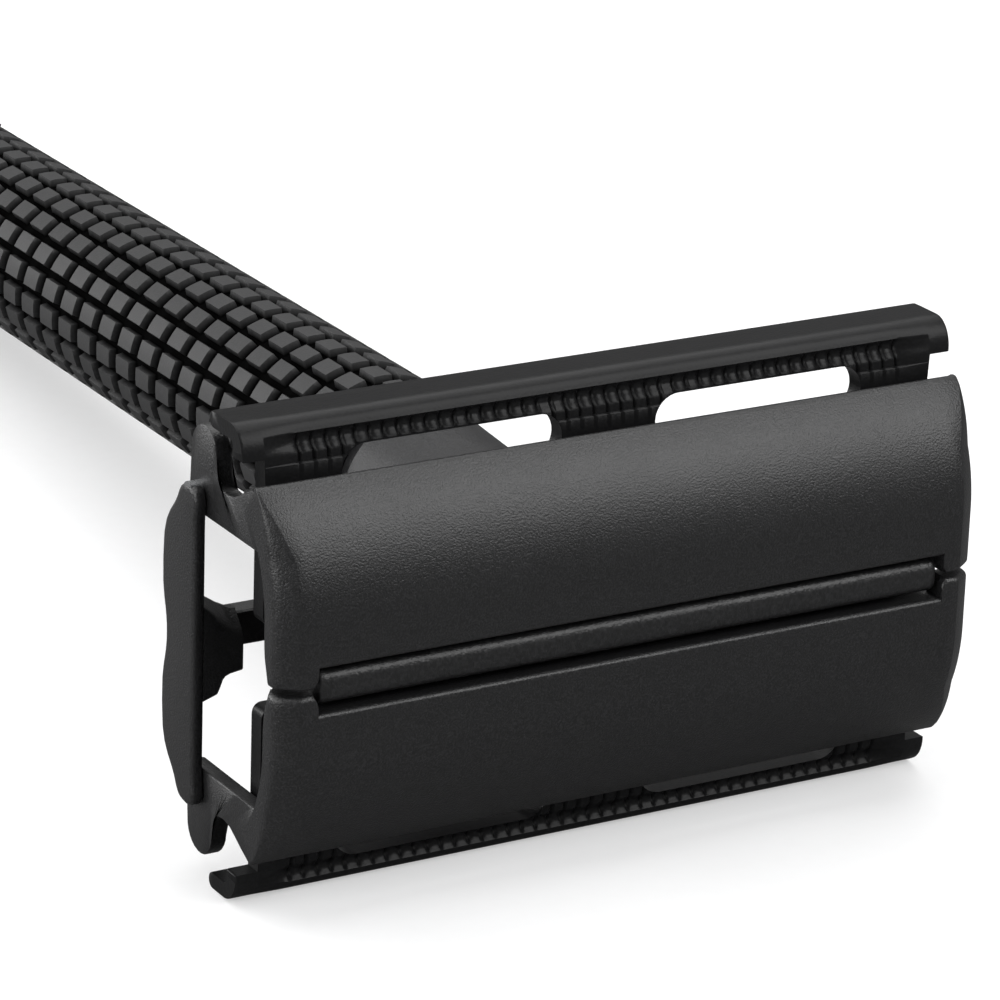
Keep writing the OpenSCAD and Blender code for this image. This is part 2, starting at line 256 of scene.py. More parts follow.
def guard_rail(side, sizes):
    """Guard rail carried along the head: one section of the turned-down lip.

    The inner edge follows the windows, y = middle + half-width(x). The outer curve
    runs over a step, a ridge, a cove and a ledge, and the fine cuts lower it by
    cut depth * tooth(x) * mask(y). At the ends it turns into a plain round edge.
    The upper rail's lip hangs a little lower than the lower rail's.
    """
    lip_low = LIP_LOW - (UPPER_LIP_EXTRA if side > 0 else 0.0)
    pitch, depth = sizes.tooth_pitch / MM, sizes.tooth_depth / MM
    reach = 19.3
    teeth = np.arange(-int(reach / pitch), int(reach / pitch) + 1) * pitch
    offsets = np.array([-0.4, -0.16, -0.1, -0.05, 0, 0.05, 0.1, 0.16]) * pitch / 0.84
    x = np.concatenate([(teeth[:, None] + offsets).ravel(), window_stations(),
                        [-GUARD_X, -GUARD_X + 0.04, -GUARD_X + 0.15, -20.62, -20.56],
                        [GUARD_X, GUARD_X - 0.04, GUARD_X - 0.15, 20.62, 20.56]])
    x = np.unique(np.round(x, 4))
    inner = np.where(np.abs(x) < 20.6, WINDOW_Y + window_half(x), GUARD_IN)
    top = np.array([
        [10.98, -4.2], [11.03, -4.24], [11.06, -4.32], [11.4, -4.35], [11.5, -4.36],
        [11.62, -4.42], [11.75, -4.52], [11.86, -4.64], [11.98, -4.73], [12.12, -4.77],
        [12.3, -4.73], [12.45, -4.65], [12.55, -4.56], [12.6, -4.53], [12.66, -4.56],
        [12.74, -4.6], [12.9, -4.68], [13.05, -4.81], [13.17, -4.98], [13.25, -5.18],
        [13.29, -5.4], [GUARD_Y, -5.6]])
    mask = np.interp(top[:, 0], [10.99, 11.04, 12.2, 12.6], [0, 1, 1, 0])
    cuts = tooth_depth(x, pitch, 0.15, reach)[:, None] * mask * depth
    round_from, round_run, round_drop = 11.6, 1.7, 1.4
    past = np.maximum(top[:, 0] - round_from, 0) / round_run
    round_edge = PLATE_TOP - round_drop + round_drop * np.sqrt(np.maximum(1 - past**2, 0))
    plain_end = np.clip((np.abs(x) - 19.6) / 0.9, 0, 1)[:, None]
    plain_end = plain_end**2 * (3 - 2 * plain_end)
    outer_y = np.maximum(top[None, :, 0], inner[:, None] + 0.002 * np.arange(len(top)))
    outer_z = (top[None, :, 1] - cuts) * (1 - plain_end) + round_edge * plain_end
    lip_mid, lip_r = 12.85, 0.45
    lip = np.concatenate([
        np.stack([np.full(3, GUARD_Y), [-6.1, -6.6, -6.95]], -1),
        corner(lip_mid, lip_low + lip_r, lip_r, 0, -90, 6)[1:]])
    back = np.concatenate([
        corner(lip_mid, lip_low + lip_r, lip_r, -90, -180, 6)[1:],
        np.stack([np.full(3, 12.4), [-6.6, -6.1, -5.6]], -1),
        corner(12.1, -5.6, 0.3, 0, 90, 5)])
    n = len(x)
    one = np.ones((n, 1))
    front = np.concatenate([
        np.stack([inner[:, None] * one, one * PLATE_TOP], -1),
        np.stack([outer_y, outer_z], -1),
        np.broadcast_to(lip, (n,) + lip.shape)], 1)
    count = front.shape[1]
    tail = np.linspace(12.1, 0, count - len(back) + 1)[1:] / 12.1
    flat_y = inner[:, None] + (12.1 - inner[:, None]) * tail
    rear = np.concatenate([
        np.broadcast_to(back, (n,) + back.shape),
        np.stack([flat_y, np.full_like(flat_y, PLATE_LOW)], -1)], 1)
    section = np.concatenate([front, rear], 1)
    shrink = np.interp(np.abs(x), [GUARD_X - 0.15, GUARD_X - 0.04, GUARD_X], [0, 0.04, 0.14])
    centre = np.array([12.6, -5.3])
    section = section + (centre - section) * (shrink[:, None, None] * 0.35)
    points = along(x, section)
    points[..., 1] *= side
    return skin(points, fold_caps=True)


def plate_half(side):
    """Flat half of the guard plate carried along the head.

    Its outer edge is middle - half-width(x) of the windows, and its inner edge
    steps out round the notch at each end, with a rounded corner.
    """
    ends = np.array([19.34, 19.36, 20.0, 20.15, 20.3, 20.42, 20.5, PLATE_X])
    x = np.unique(np.round(np.concatenate([window_stations(), -ends, ends]), 4))
    x = np.unique(np.concatenate([x, np.linspace(-19.3, 19.3, 9)]))
    end_r = 0.55
    near_end = np.maximum(np.abs(x) - (PLATE_X - end_r), 0)
    round_in = end_r - np.sqrt(np.maximum(end_r**2 - near_end**2, 0))
    inner = np.where(np.abs(x) > NOTCH_X, NOTCH_Y + round_in, 0.0)
    outer = WINDOW_Y - window_half(x)
    across = 9
    y = inner[:, None] + (outer - inner)[:, None] * np.linspace(0, 1, across)
    y = np.concatenate([y, y[:, ::-1]], 1)
    z = np.concatenate([np.full(across, PLATE_TOP), np.full(across, PLATE_LOW)])
    points = np.stack([np.broadcast_to(x[:, None], y.shape), y * side,
                       np.broadcast_to(z, y.shape)], -1)
    return skin(points, fold_caps=True)


def door_shell(side):
    """Door shell: its curved section carried along the head, with rounded, bevelled ends.

    The outer curve is z = 0 on the flat crown, then an arc of radius R; the inner one
    has radius R - t. The end is a bevel with a round foot, bevel * fade long and
    drop * fade high, where fade falls from 1 to 0.1 towards the outer corner.
    """
    radius, wall, flat, edge = 9.45, 1.5, 3.5, 0.34
    slot_half, gap_half = 1.25, 0.13
    arc_to = math.degrees(math.asin((10.5 - flat) / radius))
    turn = np.radians(np.linspace(0, arc_to - 1.6, 20))[1:]
    start = corner(edge, -edge, edge, 180, 90, 6)
    level = np.stack([[0.7, 1.1, 1.6, 2.2, 2.9, 3.5], np.zeros(6)], -1)
    bend = np.stack([flat + radius * np.sin(turn), radius * (np.cos(turn) - 1)], -1)
    tip = np.array([[10.44, bend[-1, 1] - 0.12], [10.48, bend[-1, 1] - 0.24],
                    [10.46, bend[-1, 1] - 0.36], [10.36, bend[-1, 1] - 0.45]])
    outer = np.concatenate([start, level, bend, tip])
    inner_turn = np.radians(np.linspace(0, 52.0, len(outer) - 9))
    inner = np.concatenate([
        np.stack([[0.0, 0.3, 0.7, 1.1, 1.6, 2.2, 2.8, 3.2, 3.4], np.full(9, -wall)], -1),
        np.stack([flat + (radius - wall) * np.sin(inner_turn),
                  (radius - wall) * np.cos(inner_turn) - radius], -1)])

    rows_x = np.concatenate([np.linspace(0, 18.9, 15),
                             [19.2, 19.36, 19.43, 19.45, 19.46, 19.5, 19.58, 19.72, 19.95]])
    rows_y0 = np.interp(rows_x, [19.45, 19.46, 19.5, 19.58, 19.72, 21],
                        [slot_half, 0.6, 0.46, 0.34, gap_half, gap_half])
    rim, bevel, drop = 21.7, 1.2, 0.8
    near_round, far_round = 0.4, 0.6

    def spread(curve, y0):
        """The curve once per row, its inner edge moved out to y0 and its outer part kept."""
        moved = np.broadcast_to(curve, (len(y0),) + curve.shape).copy()
        moved[..., 0] += y0[:, None] * np.clip(1 - curve[:, 0] / 3.4, 0, 1)
        return moved

    out_rows, in_rows = spread(outer, rows_y0), spread(inner, rows_y0)
    last_out = spread(outer, np.array([gap_half]))[0]
    last_in = spread(inner, np.array([gap_half]))[0]
    near = np.clip(near_round + gap_half - last_out[:, 0], 0, near_round)
    far = np.clip(far_round - np.abs(last_out[:, 1] + 3.45), 0, far_round)
    end_out = (rim - near_round + np.sqrt(near_round**2 - near**2)
               - far_round + np.sqrt(far_round**2 - far**2))
    end_in = np.minimum(end_out, rim)
    fade = np.clip((10.45 - last_out[:, 0]) / 3.4, 0.1, 1)
    rise = np.array([0, 0.05, 0.35, 0.65, 0.87, 0.95, 0.99, 1])
    fall = np.array([0, 0.03, 0.32, 0.64, 0.9, 1.1, 1.4, 1.8])
    x_out = np.concatenate([np.broadcast_to(rows_x[:, None], out_rows.shape[:2]),
                            end_out - bevel * fade * (1 - rise[:, None])])
    z_out = np.concatenate([out_rows[..., 1], last_out[:, 1] - drop * fade * fall[:, None]])
    y_out = np.concatenate([out_rows[..., 0]] + [last_out[None, :, 0]] * len(rise))
    half_out = np.stack([x_out, y_out, z_out], -1)
    x_in = np.concatenate([np.broadcast_to(rows_x[:, None], in_rows.shape[:2])]
                          + [(rows_x[-1] + (end_in - rows_x[-1]) * k)[None]
                             for k in np.linspace(0.2, 1, len(rise))])
    y_in = np.concatenate([in_rows[..., 0]] + [last_in[None, :, 0]] * len(rise))
    z_in = np.concatenate([in_rows[..., 1]]
                          + [last_in[None, :, 1] - 0.35 * k for k in np.linspace(0, 1, len(rise))])
    half_in = np.stack([x_in, y_in, z_in], -1)
    half = np.concatenate([half_out, half_in[:, ::-1]], 1)
    other = half[1:][::-1].copy()
    other[..., 0] *= -1
    points = np.concatenate([other, half])
    points[..., 1] *= side
    return skin(points, fold_caps=True)


def flat_leg(side, end):
    """A door's leg: its outline, from the shell to the hooked lobe, given depth along x.

    The outline is two curves from top to bottom, the inner edge and the outer one.
    """
    outer = np.concatenate([
        [[10.38, -3.4], [10.0, -4.15], [9.6, -4.85], [9.25, -5.5], [9.1, -6.2], [9.16, -6.8]],
        [[9.3, -7.12], [9.6, -7.32], [10.0, -7.42], [10.45, -7.48]],
        corner(10.7, -8.9, 1.4, 88, -92, 14)])
    count = len(outer)
    inner_z = np.linspace(-1.9, -10.0, count - 5)
    inner = np.concatenate([
        np.stack([np.full(len(inner_z), 7.1), inner_z], -1),
        corner(7.7, -9.9, 0.6, 195, 262, 5)])
    x = np.array([20.8, 20.84, 20.92, 21.56, 21.64, 21.685])
    pull = np.array([0.1, 0.03, 0, 0, 0.03, 0.1])
    loop = np.concatenate([outer, inner[::-1]])
    middle = np.concatenate([inner, outer[::-1]])
    toward = middle - loop
    toward = toward / np.linalg.norm(toward, axis=1)[:, None]
    section = loop + toward * pull[:, None, None]
    points = along(x * end, section)
    points[..., 1] *= side
    return skin(points, fold_caps=True)


def end_plate(end):
    """Yoke end plate: a waisted outline given thickness along x, with round edges.

    Top and bottom are curves over y through given heights, joined at the two tips.
    """
    ay = 9.0 * np.sin(np.radians(np.linspace(-90, 90, 61)))
    y, ay = ay - 0.25, np.abs(ay)
    top = np.interp(ay, [0, 1.9, 2.6, 7.2, 7.8, 8.3, 8.7, 8.92, 9.0],
                    [-8.5, -8.5, -8.48, -8.48, -8.42, -8.35, -8.5, -8.75, -9.15])
    low = np.interp(ay, [0, 0.6, 1.3, 2.0, 2.8, 4.2, 5.6, 6.4, 7.0,
                         7.5, 8.0, 8.4, 8.75, 8.93, 9.0],
                    [-11.7, -11.72, -11.85, -12.05, -12.18, -12.2, -12.1, -11.85, -11.45,
                     -11.0, -10.65, -10.45, -10.2, -9.85, -9.15])
    x = np.array([21.72, 21.76, 21.84, 22.22, 22.32, 22.39, 22.42])
    pull = np.array([0.16, 0.05, 0, 0, 0.04, 0.13, 0.26])
    centre = (top + low) / 2
    half = (top - low) / 2
    shrink = np.maximum(half - pull[:, None], half * 0.1)
    tip = 1 - pull[:, None] * 0.1
    loop_y = np.concatenate([y * tip, (y * tip)[:, ::-1]], 1)
    loop_z = np.concatenate([centre + shrink, (centre - shrink)[:, ::-1]], 1)
    points = np.stack([np.broadcast_to(x[:, None] * end, loop_y.shape), loop_y, loop_z], -1)
    return skin(points, fold_caps=True)


def yoke_stem(end):
    """Stem from an end plate to the spine: a section that narrows along x with fillets.

    It flares towards the plate, and its +y top edge is cut off by a slanted facet.
    """
    x = np.array([19.42, 19.46, 19.55, 19.8, 20.1, 20.4, 20.6, 20.75, 20.9, 21.1, 21.4, 21.76])
    minus = np.interp(x, [19.4, 20.1, 20.5, 20.65, 20.85, 21.3, 21.76],
                      [1.85, 1.95, 2.1, 2.4, 3.0, 3.15, 3.3])
    plus = np.interp(x, [19.4, 19.8, 20.4, 21.0, 21.76], [1.35, 1.4, 1.7, 2.1, 2.4])
    brow = np.interp(x, [19.4, 20.1, 20.7, 21.2, 21.76], [0.15, 0.35, 0.9, 1.6, 2.1])
    low = np.interp(x, [19.4, 20.9, 21.4, 21.76], [-10.1, -10.1, -10.4, -11.2])
    level, chin = np.full(len(x), -8.5), np.full(len(x), -9.55)
    top = np.stack([[-minus, -minus + 0.12, -0.5 * minus, brow - 0.2, brow,
                     0.7 * brow + 0.3 * plus, plus, plus],
                    [level - 0.12, level, level, level, level - 0.06,
                     0.75 * level + 0.25 * chin, chin, chin - 0.15]], -1)
    bottom = np.stack([[-minus, -minus + 0.12, -0.5 * minus, brow - 0.2, brow,
                        0.7 * brow + 0.3 * plus, plus - 0.1, plus],
                       [low + 0.12, low, low, low, low, low, low, low + 0.12]], -1)
    section = np.concatenate([top, bottom[::-1]]).transpose(1, 0, 2)
    return skin(along(x * end, section), fold_caps=True)


def block(x0, x1, y0, y1, z0, z1, edge=0.1):
    """A block whose section along x shrinks at both ends, so that its edges are cut."""
    x = np.array([x0, x0 + edge, x1 - edge, x1])
    pull = np.array([edge, 0, 0, edge])[:, None]
    top_y = np.array([y0, y0 + edge, y1 - edge, y1])
    top_z = np.array([z1 - edge, z1, z1, z1 - edge])
    low_z = np.array([z0 + edge, z0, z0, z0 + edge])
    mid_y, mid_z = (y0 + y1) / 2, (z0 + z1) / 2
    y = np.concatenate([top_y, top_y[::-1]])
    z = np.concatenate([top_z, low_z[::-1]])
    y = y - np.sign(y - mid_y) * pull
    z = z - np.sign(z - mid_z) * pull
    points = np.stack([np.broadcast_to(x[:, None], y.shape), y, z], -1)
    return skin(points, fold_caps=True)


def bar_skin(sizes):
    """Centre bar: a half-round top on two straight walls, carried along the head."""
    half, r = BAR_Y, sizes.bar_round / MM
    top = np.concatenate([corner(half - r, BAR_TOP - r, r, 0, 90, 7),
                          corner(r - half, BAR_TOP - r, r, 90, 180, 7)])
    count = len(top)
    base = np.stack([np.linspace(-half, half, count), np.full(count, PLATE_TOP)], -1)
    section = np.concatenate([top, base])
    ends = BAR_X - np.array([0.3, 0.12, 0.03, 0])
    x = np.concatenate([np.linspace(-ends[0], ends[0], 25), ends[1:], -ends[1:]])
    x = np.unique(np.round(x, 4))
    pull = np.interp(np.abs(x), ends, [0, 0.03, 0.1, 0.22])
    points = np.empty((len(x), len(section), 3))
    points[..., 0] = x[:, None]
    points[..., 1] = section[:, 0] * (1 - pull[:, None] * 0.5)
    points[..., 2] = np.where(section[:, 1] > PLATE_TOP + 0.01,
                              section[:, 1] - pull[:, None] * 0.6, section[:, 1])
    return skin(points, fold_caps=True)


def pad_profile(cell, pad, slope):
    """Height across one pad cell: 1 over the pad, falling over the slope, 0 in the cut."""
    return np.clip((pad / 2 + slope - np.abs(cell)) / slope, 0, 1)


def pad_steps(pitch, pad, slope):
    """Places across one cell where the pad's outline turns."""
    p = pad / 2
    return np.array([-pitch / 2, -p - slope, -p - 0.35 * slope, -p, -0.33 * p, 0.33 * p, p,
                     p + 0.35 * slope, p + slope])


def padded_tube(radius, depth, low, high, ring_mid, pitch, around, first_angle, bore, sizes,
                end_round=0.25):
    """Tube whose wall stands out in rings of pads.

    r(angle, z) = radius - depth * (1 - h(angle) h(z)), where h is 1 over a pad, 0 in
    a cut and straight between them. The wall then turns in at both ends to the bore.
    """
    pad_z, pad_a = pitch * sizes.pad_share, 360.0 / around * sizes.pad_share_round
    slope_z, slope_a = sizes.pad_slope / MM, math.degrees(sizes.pad_slope / MM / radius)
    steps_z = pad_steps(pitch, pad_z, slope_z)
    rings = np.arange(math.floor((low - ring_mid) / pitch),
                      math.ceil((high - ring_mid) / pitch) + 1)
    z = (ring_mid + rings[:, None] * pitch + steps_z).ravel()
    z = z[(z > low + end_round) & (z < high - end_round)]
    z = np.unique(np.round(np.concatenate([[low + end_round], z, [high - end_round]]), 4))
    cell_z = (z - ring_mid + pitch / 2) % pitch - pitch / 2
    steps_a = pad_steps(360.0 / around, pad_a, slope_a)
    angle = (first_angle + np.arange(around)[:, None] * 360.0 / around + steps_a).ravel()
    cell_a = (angle - first_angle + 180.0 / around) % (360.0 / around) - 180.0 / around
    height = pad_profile(cell_z, pad_z, slope_z)[:, None] * pad_profile(cell_a, pad_a, slope_a)
    wall = radius - depth * (1 - height)
    quarter = np.radians(np.linspace(90, 0, 5)[:-1])
    deep, cut = 0.6, 0.1
    one = np.ones(len(angle))
    rows = [(bore * one, low + deep), (bore * one, low + cut), ((bore + cut) * one, low)]
    rows += [(wall[0] - end_round * (1 - np.cos(q)), low + end_round * (1 - np.sin(q)))
             for q in quarter]
    rows += list(zip(wall, z))
    rows += [(wall[-1] - end_round * (1 - np.cos(q)), high - end_round * (1 - np.sin(q)))
             for q in quarter[::-1]]
    rows += [((bore + cut) * one, high), (bore * one, high - cut), (bore * one, high - deep)]
    r = np.stack([row for row, _ in rows])
    level = np.array([place for _, place in rows])[:, None] + np.zeros_like(r)
    a = np.radians(angle)
    points = np.stack([r * np.cos(a), r * np.sin(a), level], -1)
    return skin(points, wrap_rows=True)


def lathe(profile, closed, count=96):
    """A (radius, z) profile turned round the handle's axis, closed or ending on the axis."""
    profile = np.asarray(profile, float)
    a = np.linspace(0, 2 * math.pi, count, endpoint=False)
    points = np.stack([profile[:, :1] * np.cos(a), profile[:, :1] * np.sin(a),
                       profile[:, 1:] + np.zeros_like(a)], -1)
    return skin(points, wrap_rows=closed)


# ---------------------------------------------------------------- finishes


def new_group(name, inputs, outputs):
    """An empty shader node group with named sockets."""
    tree = bpy.data.node_groups.new(name, "ShaderNodeTree")
    for label, kind, value in inputs:
        socket = tree.interface.new_socket(label, in_out="INPUT", socket_type=kind)
        socket.default_value = value
    for label, kind in outputs:
        tree.interface.new_socket(label, in_out="OUTPUT", socket_type=kind)
    return tree, tree.nodes.new("NodeGroupInput"), tree.nodes.new("NodeGroupOutput")


def feed(tree, place, value):
    """Links a socket to an input, or sets the input to a fixed value."""
    if isinstance(value, bpy.types.NodeSocket):
        tree.links.new(value, place)
    else:
        place.default_value = value


def add_math(tree, operation, first, second):
    """A Math node; each input is a socket to link or a number."""
    made = tree.nodes.new("ShaderNodeMath")
    made.operation = operation
    feed(tree, made.inputs[0], first)
    feed(tree, made.inputs[1], second)
    return made.outputs[0]


def add_noise(tree, vector, scale, detail):
    """A Noise Texture read at a vector, with a linked or a fixed scale."""
    made = tree.nodes.new("ShaderNodeTexNoise")
    made.inputs["Detail"].default_value = detail
    tree.links.new(vector, made.inputs["Vector"])
    feed(tree, made.inputs["Scale"], scale)
    return made.outputs["Fac"]


def add_vector_math(tree, operation, first, second=None):
    """A Vector Math node with linked inputs."""
    made = tree.nodes.new("ShaderNodeVectorMath")
    made.operation = operation
    tree.links.new(first, made.inputs[0])
    if second:
        tree.links.new(second, made.inputs[1])
    return made


def add_mix(tree, factor, first, second):
    """A colour Mix node; each colour is a socket to link or a fixed colour."""
    made = tree.nodes.new("ShaderNodeMix")
    made.data_type = "RGBA"
    tree.links.new(factor, made.inputs["Factor"])
    feed(tree, made.inputs["A"], first)
    feed(tree, made.inputs["B"], second)
    return made.outputs["Result"]


def add_group(tree, name, build, values):
    """The named node group, built once and placed in a material with its own values."""
    group = tree.nodes.new("ShaderNodeGroup")
    group.node_tree = bpy.data.node_groups.get(name) or build()
    for label, value in values.items():
        group.inputs[label].default_value = value
    return group


def grain_group():
    """Fine grain of a sprayed or blasted finish: specks, broad patches and their height."""
    tree, given, made = new_group(
        "blasted_grain",
        [("Colour", "NodeSocketColor", (0.02, 0.02, 0.02, 1)),
         ("Speck Colour", "NodeSocketColor", (0.03, 0.03, 0.03, 1)),
         ("Grain Scale", "NodeSocketFloat", 9000.0),
         ("Patch Scale", "NodeSocketFloat", 260.0),
         ("Roughness", "NodeSocketFloat", 0.4),
         ("Roughness Spread", "NodeSocketFloat", 0.1)],
        [("Colour", "NodeSocketColor"), ("Roughness", "NodeSocketFloat"),
         ("Height", "NodeSocketFloat")])
    where = tree.nodes.new("ShaderNodeTexCoord").outputs["Object"]
    fine = add_noise(tree, where, given.outputs["Grain Scale"], 2.0)
    patch = add_noise(tree, where, given.outputs["Patch Scale"], 3.0)
    sharp = tree.nodes.new("ShaderNodeMapRange")
    sharp.inputs["From Min"].default_value = 0.42
    sharp.inputs["From Max"].default_value = 0.66
    tree.links.new(fine, sharp.inputs["Value"])
    mix = add_mix(tree, sharp.outputs["Result"], given.outputs["Colour"],
                  given.outputs["Speck Colour"])
    uneven = add_math(tree, "ADD", add_math(tree, "MULTIPLY", fine, 0.5),
                      add_math(tree, "MULTIPLY", patch, 0.5))
    shift = add_math(tree, "MULTIPLY", add_math(tree, "SUBTRACT", uneven, 0.5),
                     given.outputs["Roughness Spread"])
    rough = add_math(tree, "ADD", given.outputs["Roughness"], shift)
    tree.links.new(mix, made.inputs["Colour"])
    tree.links.new(rough, made.inputs["Roughness"])
    tree.links.new(fine, made.inputs["Height"])
    return tree


def rings_group():
    """Fine turning marks: noise that changes along one axis only, with faint stains."""
    tree, given, made = new_group(
        "turning_marks",
        [("Axis", "NodeSocketVector", (0, 0, 1)),
         ("Mark Scale", "NodeSocketFloat", 9000.0),
         ("Roughness", "NodeSocketFloat", 0.25),
         ("Roughness Spread", "NodeSocketFloat", 0.2)],
        [("Roughness", "NodeSocketFloat"), ("Height", "NodeSocketFloat"),
         ("Stain", "NodeSocketFloat")])
    where = tree.nodes.new("ShaderNodeTexCoord").outputs["Object"]
    place = add_vector_math(tree, "DOT_PRODUCT", where, given.outputs["Axis"])
    marks = tree.nodes.new("ShaderNodeTexNoise")
    marks.noise_dimensions = "1D"
    marks.inputs["Detail"].default_value = 3.0
    tree.links.new(add_math(tree, "MULTIPLY", place.outputs["Value"],
                            given.outputs["Mark Scale"]), marks.inputs["W"])
    marks.inputs["Scale"].default_value = 1.0
    stain = add_noise(tree, where, 400.0, 4.0)
    shift = add_math(tree, "MULTIPLY", add_math(tree, "SUBTRACT", marks.outputs["Fac"], 0.5),
                     given.outputs["Roughness Spread"])
    tree.links.new(add_math(tree, "ADD", given.outputs["Roughness"], shift),
                   made.inputs["Roughness"])
    tree.links.new(marks.outputs["Fac"], made.inputs["Height"])
    tree.links.new(stain, made.inputs["Stain"])
    return tree


def cut_shade_group():
    """How far a point stands out of the grip's cuts, the mask of their painted shade: 0 at the
    inner radius, 1 at the outer.
    """
    tree, given, made = new_group(
        "cut_shade_mask",
        [("Axis Point", "NodeSocketVector", (0, 0, 0)), ("Axis", "NodeSocketVector", (0, 0, 1)),
         ("Inner Radius", "NodeSocketFloat", 0.005), ("Outer Radius", "NodeSocketFloat", 0.0056)],
        [("Mask", "NodeSocketFloat")])
    where = tree.nodes.new("ShaderNodeTexCoord").outputs["Object"]
    offset = add_vector_math(tree, "SUBTRACT", where, given.outputs["Axis Point"])
    cross = add_vector_math(tree, "CROSS_PRODUCT", offset.outputs["Vector"],
                            given.outputs["Axis"])
    reach = add_vector_math(tree, "LENGTH", cross.outputs["Vector"])
    ramp = tree.nodes.new("ShaderNodeMapRange")
    tree.links.new(reach.outputs["Value"], ramp.inputs["Value"])
    tree.links.new(given.outputs["Inner Radius"], ramp.inputs["From Min"])
    tree.links.new(given.outputs["Outer Radius"], ramp.inputs["From Max"])
    tree.links.new(ramp.outputs["Result"], made.inputs["Mask"])
    return tree


def paint_shade_in_cuts(material, inner, outer, shine):
    """Paints shade into the grip's cuts: a darker colour and a duller reflection than on its pads;
    radii in millimetres.
    """
    tree = material.node_tree
    shader = tree.nodes["Principled BSDF"]
    group = add_group(tree, "cut_shade_mask", cut_shade_group, {
        "Axis Point": tuple(ORIGIN), "Axis": tuple(AXIS_Z),
        "Inner Radius": inner * MM, "Outer Radius": outer * MM})
    # Painted shade: a near-black colour at the bottom of the cuts, fading to the grain's colour on
    # the pads
    mix = add_mix(tree, group.outputs["Mask"], (0.002, 0.002, 0.002, 1),
                  shader.inputs["Base Color"].links[0].from_socket)
    tree.links.new(mix, shader.inputs["Base Color"])
    # Painted shade: the reflection fades out towards the bottom of the cuts
    tree.links.new(add_math(tree, "MULTIPLY", group.outputs["Mask"], shine),
                   shader.inputs["Specular IOR Level"])
    return material


def shadowless(material, share_lit, dimming=0.88):
    """A floor that the camera sees with soft shadows and the black finish reflects dimly.

    share_lit is the share of real shading that the camera sees, and the rest is even
    white. dimming is the share of a dark floor in what reflections see.
    """
    tree = material.node_tree
    shader = tree.nodes["Principled BSDF"]
    glow = tree.nodes.new("ShaderNodeEmission")
    glow.inputs["Color"].default_value = (1, 1, 1, 1)
    path = tree.nodes.new("ShaderNodeLightPath")
    dark = tree.nodes.new("ShaderNodeBsdfDiffuse")
    dark.inputs["Color"].default_value = (0.05, 0.05, 0.05, 1)
    dull = tree.nodes.new("ShaderNodeMixShader")
    tree.links.new(add_math(tree, "MULTIPLY", path.outputs["Is Glossy Ray"], dimming),
                   dull.inputs[0])
    tree.links.new(shader.outputs["BSDF"], dull.inputs[1])
    tree.links.new(dark.outputs["BSDF"], dull.inputs[2])
    mix = tree.nodes.new("ShaderNodeMixShader")
    tree.links.new(add_math(tree, "MULTIPLY", path.outputs["Is Camera Ray"], 1 - share_lit),
                   mix.inputs[0])
    tree.links.new(dull.outputs["Shader"], mix.inputs[1])
    tree.links.new(glow.outputs["Emission"], mix.inputs[2])
    tree.links.new(mix.outputs["Shader"], tree.nodes["Material Output"].inputs["Surface"])
    return material


def blank_material(name):
    """A material with its Principled BSDF, ready for links."""
    material = bpy.data.materials.new(name)
    material.use_nodes = True
    return material, material.node_tree, material.node_tree.nodes["Principled BSDF"]


def add_bump(tree, shader, height, strength, distance):
    """A Bump node from a height to the shader's normal; distance in millimetres."""
    bump = tree.nodes.new("ShaderNodeBump")
    bump.inputs["Strength"].default_value = strength
    bump.inputs["Distance"].default_value = distance * MM
    tree.links.new(height, bump.inputs["Height"])
    tree.links.new(bump.outputs["Normal"], shader.inputs["Normal"])


def grained(name, colour, speck, roughness, spread, grain_scale, bump, specular=0.5, metallic=0.0):
    """A grained finish: the blasted_grain group into colour, roughness and bump."""
    material, tree, shader = blank_material(name)
    group = add_group(tree, "blasted_grain", grain_group, {
        "Colour": (*colour, 1), "Speck Colour": (*(c * speck for c in colour), 1),
        "Roughness": roughness, "Roughness Spread": spread, "Grain Scale": grain_scale})
    shader.inputs["Specular IOR Level"].default_value = specular
    shader.inputs["Metallic"].default_value = metallic
    tree.links.new(group.outputs["Colour"], shader.inputs["Base Color"])
    tree.links.new(group.outputs["Roughness"], shader.inputs["Roughness"])
    add_bump(tree, shader, group.outputs["Height"], 1.0, bump)
    return material


def turned(name, colour, roughness, axis):
    """A turned metal: the turning_marks group into roughness, bump and a faint stain."""
    material, tree, shader = blank_material(name)
    group = add_group(tree, "turning_marks", rings_group,
                      {"Axis": tuple(axis), "Roughness": roughness})
    mix = add_mix(tree, group.outputs["Stain"], (*(c * 0.72 for c in colour), 1), (*colour, 1))
    tree.links.new(mix, shader.inputs["Base Color"])
    tree.links.new(group.outputs["Roughness"], shader.inputs["Roughness"])
    shader.inputs["Metallic"].default_value = 1.0
    add_bump(tree, shader, group.outputs["Height"], 0.5, 0.004)
    return material


